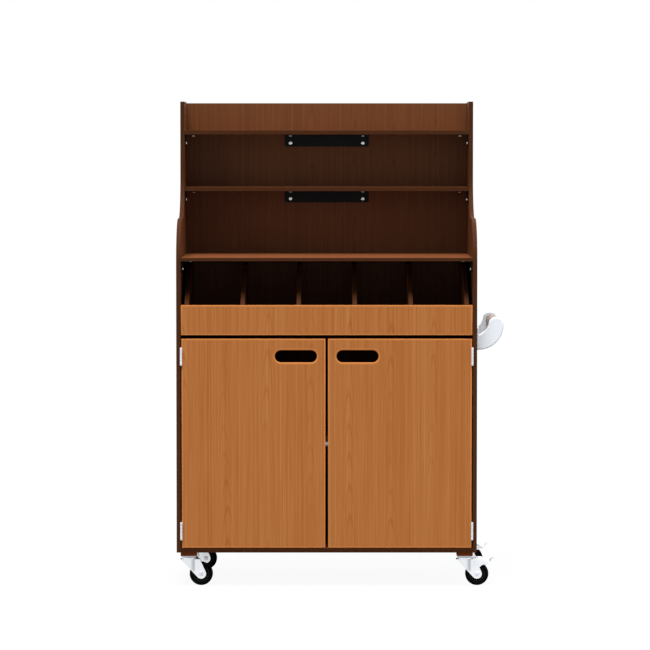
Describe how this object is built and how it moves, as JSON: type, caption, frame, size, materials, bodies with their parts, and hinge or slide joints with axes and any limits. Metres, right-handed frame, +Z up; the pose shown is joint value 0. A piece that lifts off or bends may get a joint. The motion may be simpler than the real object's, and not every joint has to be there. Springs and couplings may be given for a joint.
{
  "type": "serving trolley",
  "caption": "Mobile board serving trolley: hinged-door cupboard on swivel castors, pull-out divided tray, counter, open hutch with shelves and a push handle at one side.",
  "frame": {"origin": "on the floor, under the middle of the object's box", "axes": "+X to the object's right seen from its front, the front faces -Y, +Z up"},
  "size_m": [1.123, 0.5788, 1.668],
  "materials": {
    "carcass_board": "satin laminate, red-brown",
    "front_board": "satin laminate, orange beech",
    "tray_board": "satin laminate, red-brown",
    "bar_wood": "satin lacquer, brown",
    "bracket_steel": "black powder coat",
    "screw_zinc": "bright zinc",
    "hardware_zinc": "bright zinc",
    "castor_zinc": "bright zinc",
    "catch_plastic": "light grey",
    "handle_plastic": "smooth white",
    "hub_plastic": "dark grey",
    "tyre_rubber": "black rubber"
  },
  "bodies": {
    "cabinet": {"side_panel_left": "carcass_board", "side_panel_right": "carcass_board", "back_panel": "carcass_board", "base_panel": "carcass_board", "counter": "carcass_board", "hutch_shelf_lower": "carcass_board", "hutch_shelf_upper": "carcass_board", "cupboard_shelf": "carcass_board", "castor_blocks": "carcass_board", "long_brackets": "bracket_steel", "side_brackets": "bracket_steel", "bracket_screws": "screw_zinc", "handle_screws": "screw_zinc", "castor_screws": "screw_zinc", "shelf_pins": "hardware_zinc", "runner_channels": "hardware_zinc", "hinge_frame_leaves": "hardware_zinc", "hinge_pins": "hardware_zinc", "magnetic_catch": "catch_plastic", "handle_arm_front": "handle_plastic", "handle_arm_rear": "handle_plastic", "handle_bar": "bar_wood", "castor_plates": "castor_zinc", "castor_kingpins": "castor_zinc"},
    "tray": {"tray_front": "front_board", "tray_floor": "tray_board", "tray_back": "tray_board", "tray_side_left": "tray_board", "tray_side_right": "tray_board", "tray_divider_1": "tray_board", "tray_divider_2": "tray_board", "tray_divider_3": "tray_board", "tray_divider_4": "tray_board", "tray_screws": "screw_zinc", "runner_slides": "hardware_zinc"},
    "ball_cages": {"runner_cages": "hardware_zinc"},
    "left_door": {"door_left": "front_board", "hinge_door_leaves_left": "hardware_zinc", "strike_plate_left": "hardware_zinc"},
    "right_door": {"door_right": "front_board", "hinge_door_leaves_right": "hardware_zinc", "strike_plate_right": "hardware_zinc"},
    "castor_front_left": {"castor_fork_front_left": "castor_zinc", "castor_axle_front_left": "castor_zinc"},
    "wheel_front_left": {"castor_hub_front_left": "hub_plastic", "castor_tyre_front_left": "tyre_rubber"},
    "castor_front_right": {"castor_fork_front_right": "castor_zinc", "castor_axle_front_right": "castor_zinc"},
    "wheel_front_right": {"castor_hub_front_right": "hub_plastic", "castor_tyre_front_right": "tyre_rubber"},
    "castor_rear_left": {"castor_fork_rear_left": "castor_zinc", "castor_axle_rear_left": "castor_zinc"},
    "wheel_rear_left": {"castor_hub_rear_left": "hub_plastic", "castor_tyre_rear_left": "tyre_rubber"},
    "castor_rear_right": {"castor_fork_rear_right": "castor_zinc", "castor_axle_rear_right": "castor_zinc"},
    "wheel_rear_right": {"castor_hub_rear_right": "hub_plastic", "castor_tyre_rear_right": "tyre_rubber"},
    "brake_front": {"brake_pedal_front": "castor_zinc"},
    "brake_rear": {"brake_pedal_rear": "castor_zinc"}
  },
  "joints": [
    {"name": "left_door_hinge", "type": "hinge", "parent": "cabinet", "child": "left_door", "pos_m": [-0.545, -0.2852, 0.4925], "axis": [0, 0, -1], "range_deg": [0, 180]},
    {"name": "right_door_hinge", "type": "hinge", "parent": "cabinet", "child": "right_door", "pos_m": [0.452, -0.2852, 0.4925], "axis": [0, 0, 1], "range_deg": [0, 180]},
    {"name": "tray_slide", "type": "slide", "parent": "cabinet", "child": "tray", "axis": [0, -1, 0], "range_m": [0, 0.32]},
    {"name": "ball_cage_slide", "type": "slide", "parent": "cabinet", "child": "ball_cages", "axis": [0, -1, 0], "range_m": [0, 0.16]},
    {"name": "front_left_swivel", "type": "hinge", "parent": "cabinet", "child": "castor_front_left", "pos_m": [-0.5215, -0.22355, 0.095], "axis": [0, 0, 1], "continuous": true},
    {"name": "front_left_wheel_spin", "type": "hinge", "parent": "castor_front_left", "child": "wheel_front_left", "pos_m": [-0.479, -0.22355, 0.04], "axis": [0, 1, 0], "continuous": true},
    {"name": "front_right_swivel", "type": "hinge", "parent": "cabinet", "child": "castor_front_right", "pos_m": [0.4285, -0.22355, 0.095], "axis": [0, 0, 1], "continuous": true},
    {"name": "front_right_wheel_spin", "type": "hinge", "parent": "castor_front_right", "child": "wheel_front_right", "pos_m": [0.471, -0.22355, 0.04], "axis": [0, 1, 0], "continuous": true},
    {"name": "rear_left_swivel", "type": "hinge", "parent": "cabinet", "child": "castor_rear_left", "pos_m": [-0.5215, 0.23245, 0.095], "axis": [0, 0, 1], "continuous": true},
    {"name": "rear_left_wheel_spin", "type": "hinge", "parent": "castor_rear_left", "child": "wheel_rear_left", "pos_m": [-0.479, 0.23245, 0.04], "axis": [0, 1, 0], "continuous": true},
    {"name": "rear_right_swivel", "type": "hinge", "parent": "cabinet", "child": "castor_rear_right", "pos_m": [0.4285, 0.23245, 0.095], "axis": [0, 0, 1], "continuous": true},
    {"name": "rear_right_wheel_spin", "type": "hinge", "parent": "castor_rear_right", "child": "wheel_rear_right", "pos_m": [0.471, 0.23245, 0.04], "axis": [0, 1, 0], "continuous": true},
    {"name": "brake_front_pedal", "type": "hinge", "parent": "castor_front_right", "child": "brake_front", "pos_m": [0.4625, -0.22355, 0.0855], "axis": [0, 1, 0], "range_deg": [0, 12]},
    {"name": "brake_rear_pedal", "type": "hinge", "parent": "castor_rear_right", "child": "brake_rear", "pos_m": [0.4625, 0.23245, 0.0855], "axis": [0, 1, 0], "range_deg": [0, 12]}
  ],
  "couplings": [
    {"joint": "ball_cage_slide", "follows": "tray_slide", "ratio": 0.5}
  ]
}
